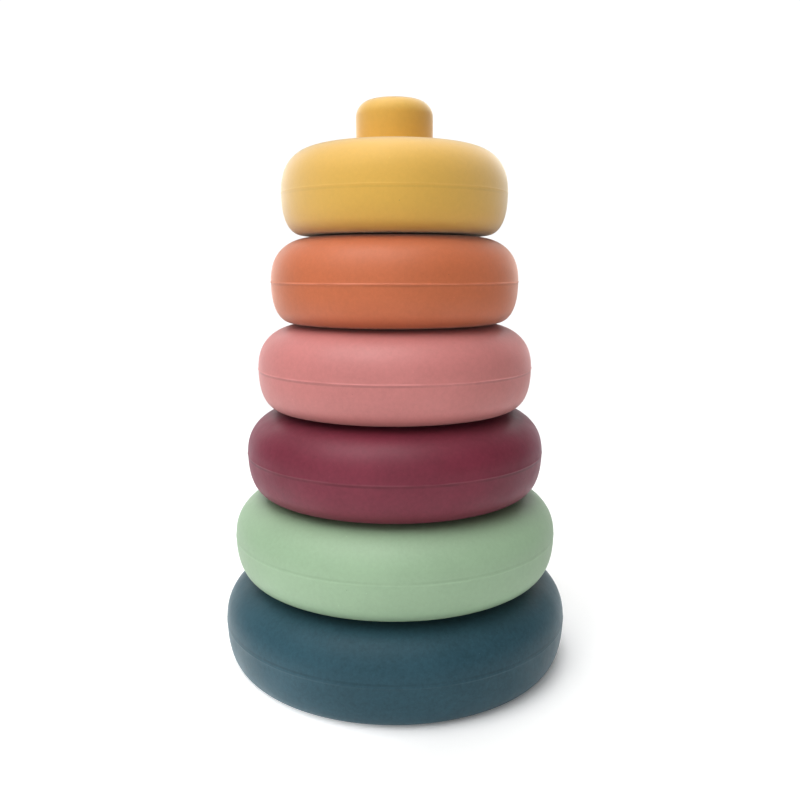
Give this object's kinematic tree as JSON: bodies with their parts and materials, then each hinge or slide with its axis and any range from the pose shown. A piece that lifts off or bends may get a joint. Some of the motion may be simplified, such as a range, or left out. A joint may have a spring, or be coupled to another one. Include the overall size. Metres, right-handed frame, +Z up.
{
  "type": "stacking ring toy",
  "caption": "Toddler's stacking tower of soft silicone rings in muted colours; each ring plugs onto a round peg on the ring below, and the top ring's peg is the knob.",
  "frame": {"origin": "centre of the bottom ring's flat underside, on the stack's axis", "axes": "+Z up along the stack's axis, from the bottom ring to the knob; X and Y lie in the underside, and the toy is the same all round"},
  "size_m": [0.09, 0.09, 0.1416],
  "materials": {
    "blue_silicone": "matte",
    "green_silicone": "matte",
    "burgundy_silicone": "matte",
    "pink_silicone": "matte",
    "orange_silicone": "matte",
    "yellow_silicone": "matte"
  },
  "bodies": {
    "base": {"blue_base_ring": "blue_silicone"},
    "green": {"green_ring": "green_silicone"},
    "burgundy": {"burgundy_ring": "burgundy_silicone"},
    "pink": {"pink_ring": "pink_silicone"},
    "orange": {"orange_ring": "orange_silicone"},
    "top": {"yellow_top_ring": "yellow_silicone"}
  },
  "joints": [
    {"name": "green_lift", "type": "slide", "parent": "base", "child": "green", "axis": [0, 0, 1], "range_m": [0, 0.02]},
    {"name": "burgundy_lift", "type": "slide", "parent": "green", "child": "burgundy", "axis": [0, 0, 1], "range_m": [0, 0.02]},
    {"name": "pink_lift", "type": "slide", "parent": "burgundy", "child": "pink", "axis": [0, 0, 1], "range_m": [0, 0.02]},
    {"name": "orange_lift", "type": "slide", "parent": "pink", "child": "orange", "axis": [0, 0, 1], "range_m": [0, 0.02]},
    {"name": "top_lift", "type": "slide", "parent": "orange", "child": "top", "axis": [0, 0, 1], "range_m": [0, 0.02]}
  ]
}
